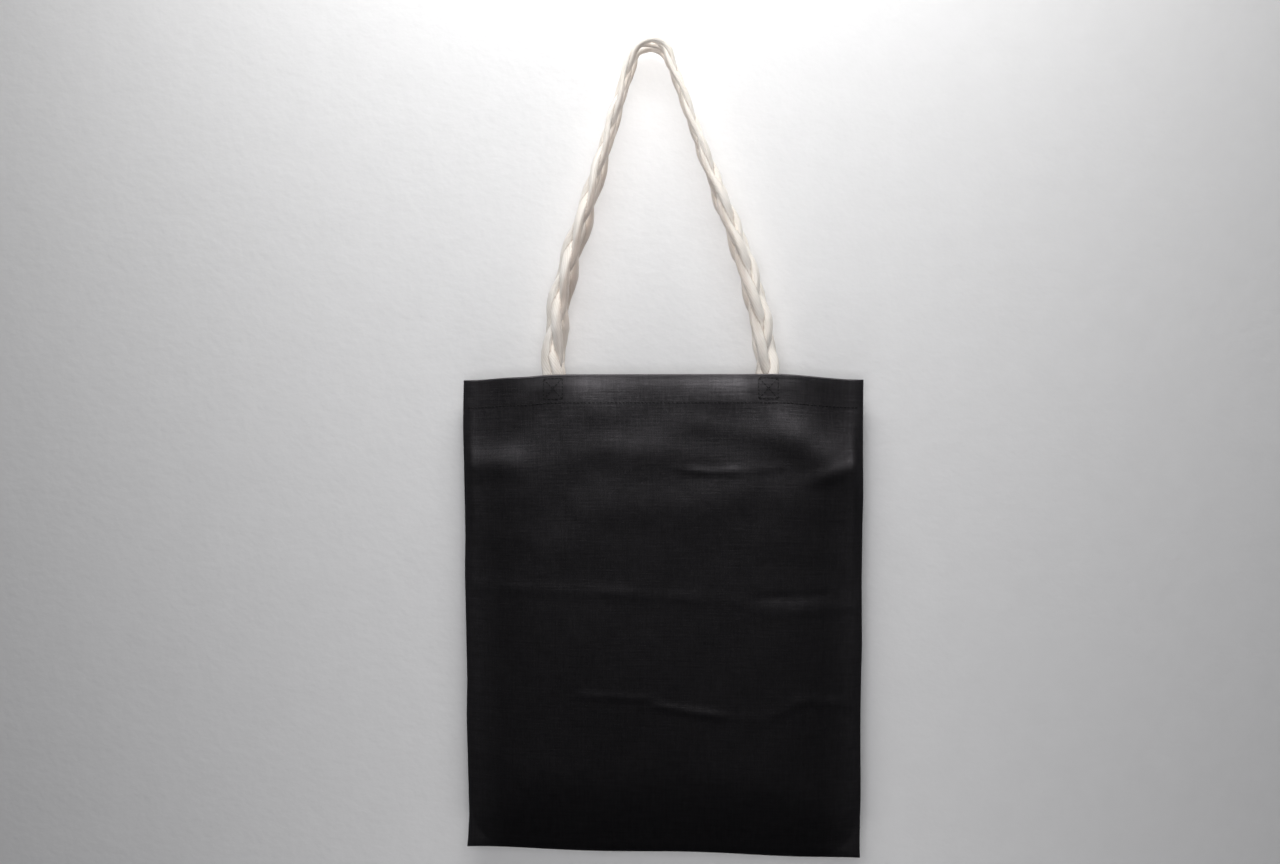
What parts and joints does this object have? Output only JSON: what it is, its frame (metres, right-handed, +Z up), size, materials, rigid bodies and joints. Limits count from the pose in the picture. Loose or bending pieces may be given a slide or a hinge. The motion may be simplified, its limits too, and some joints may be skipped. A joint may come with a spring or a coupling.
{
  "type": "canvas tote bag",
  "caption": "Flat black canvas tote bag with plaited natural cotton handles sewn inside the mouth, hanging from its handle loops.",
  "frame": {"origin": "the hang point: the underside of both handle loops where they hang on a nail", "axes": "+Z up, along the bag's height; +Y towards the wall behind, through the bag's thickness; +X to the viewer's right"},
  "size_m": [0.36, 0.0438, 0.7324],
  "materials": {
    "black_canvas": "plain woven black cotton canvas, matt with a slight sheen",
    "canvas_inside": "turned-in black canvas with an overlocked edge",
    "black_thread": "black polyester sewing thread",
    "cotton_plait": "undyed soft cotton",
    "cotton_tail": "undyed soft cotton, pressed flat"
  },
  "bodies": {
    "bag_back": {"back_panel": "black_canvas", "back_hem": "canvas_inside", "left_side_seam": "canvas_inside", "right_side_seam": "canvas_inside", "bottom_seam": "canvas_inside", "back_hem_stitching": "black_thread", "back_handle_end_left": "cotton_tail", "back_handle_end_right": "cotton_tail", "back_handle_tack_left": "black_thread", "back_handle_tack_right": "black_thread"},
    "bag_front": {"front_panel": "black_canvas", "front_hem": "canvas_inside", "front_hem_stitching": "black_thread", "front_handle_end_left": "cotton_tail", "front_handle_end_right": "cotton_tail", "front_handle_tack_left": "black_thread", "front_handle_tack_right": "black_thread"},
    "front_handle": {"front_handle_strand_1": "cotton_plait", "front_handle_strand_2": "cotton_plait", "front_handle_strand_3": "cotton_plait"},
    "back_handle": {"back_handle_strand_1": "cotton_plait", "back_handle_strand_2": "cotton_plait", "back_handle_strand_3": "cotton_plait"}
  },
  "joints": [
    {"name": "mouth_open", "type": "hinge", "parent": "bag_back", "child": "bag_front", "pos_m": [0.009, 0, -0.723], "axis": [1, 0, 0], "range_deg": [0, 5]},
    {"name": "front_handle_fold", "type": "hinge", "parent": "bag_front", "child": "front_handle", "pos_m": [0.009, -0.0159, -0.293], "axis": [1, 0, 0], "range_deg": [0, 165]},
    {"name": "back_handle_fold", "type": "hinge", "parent": "bag_back", "child": "back_handle", "pos_m": [0.009, 0.0159, -0.293], "axis": [-1, 0, 0], "range_deg": [0, 165]}
  ]
}
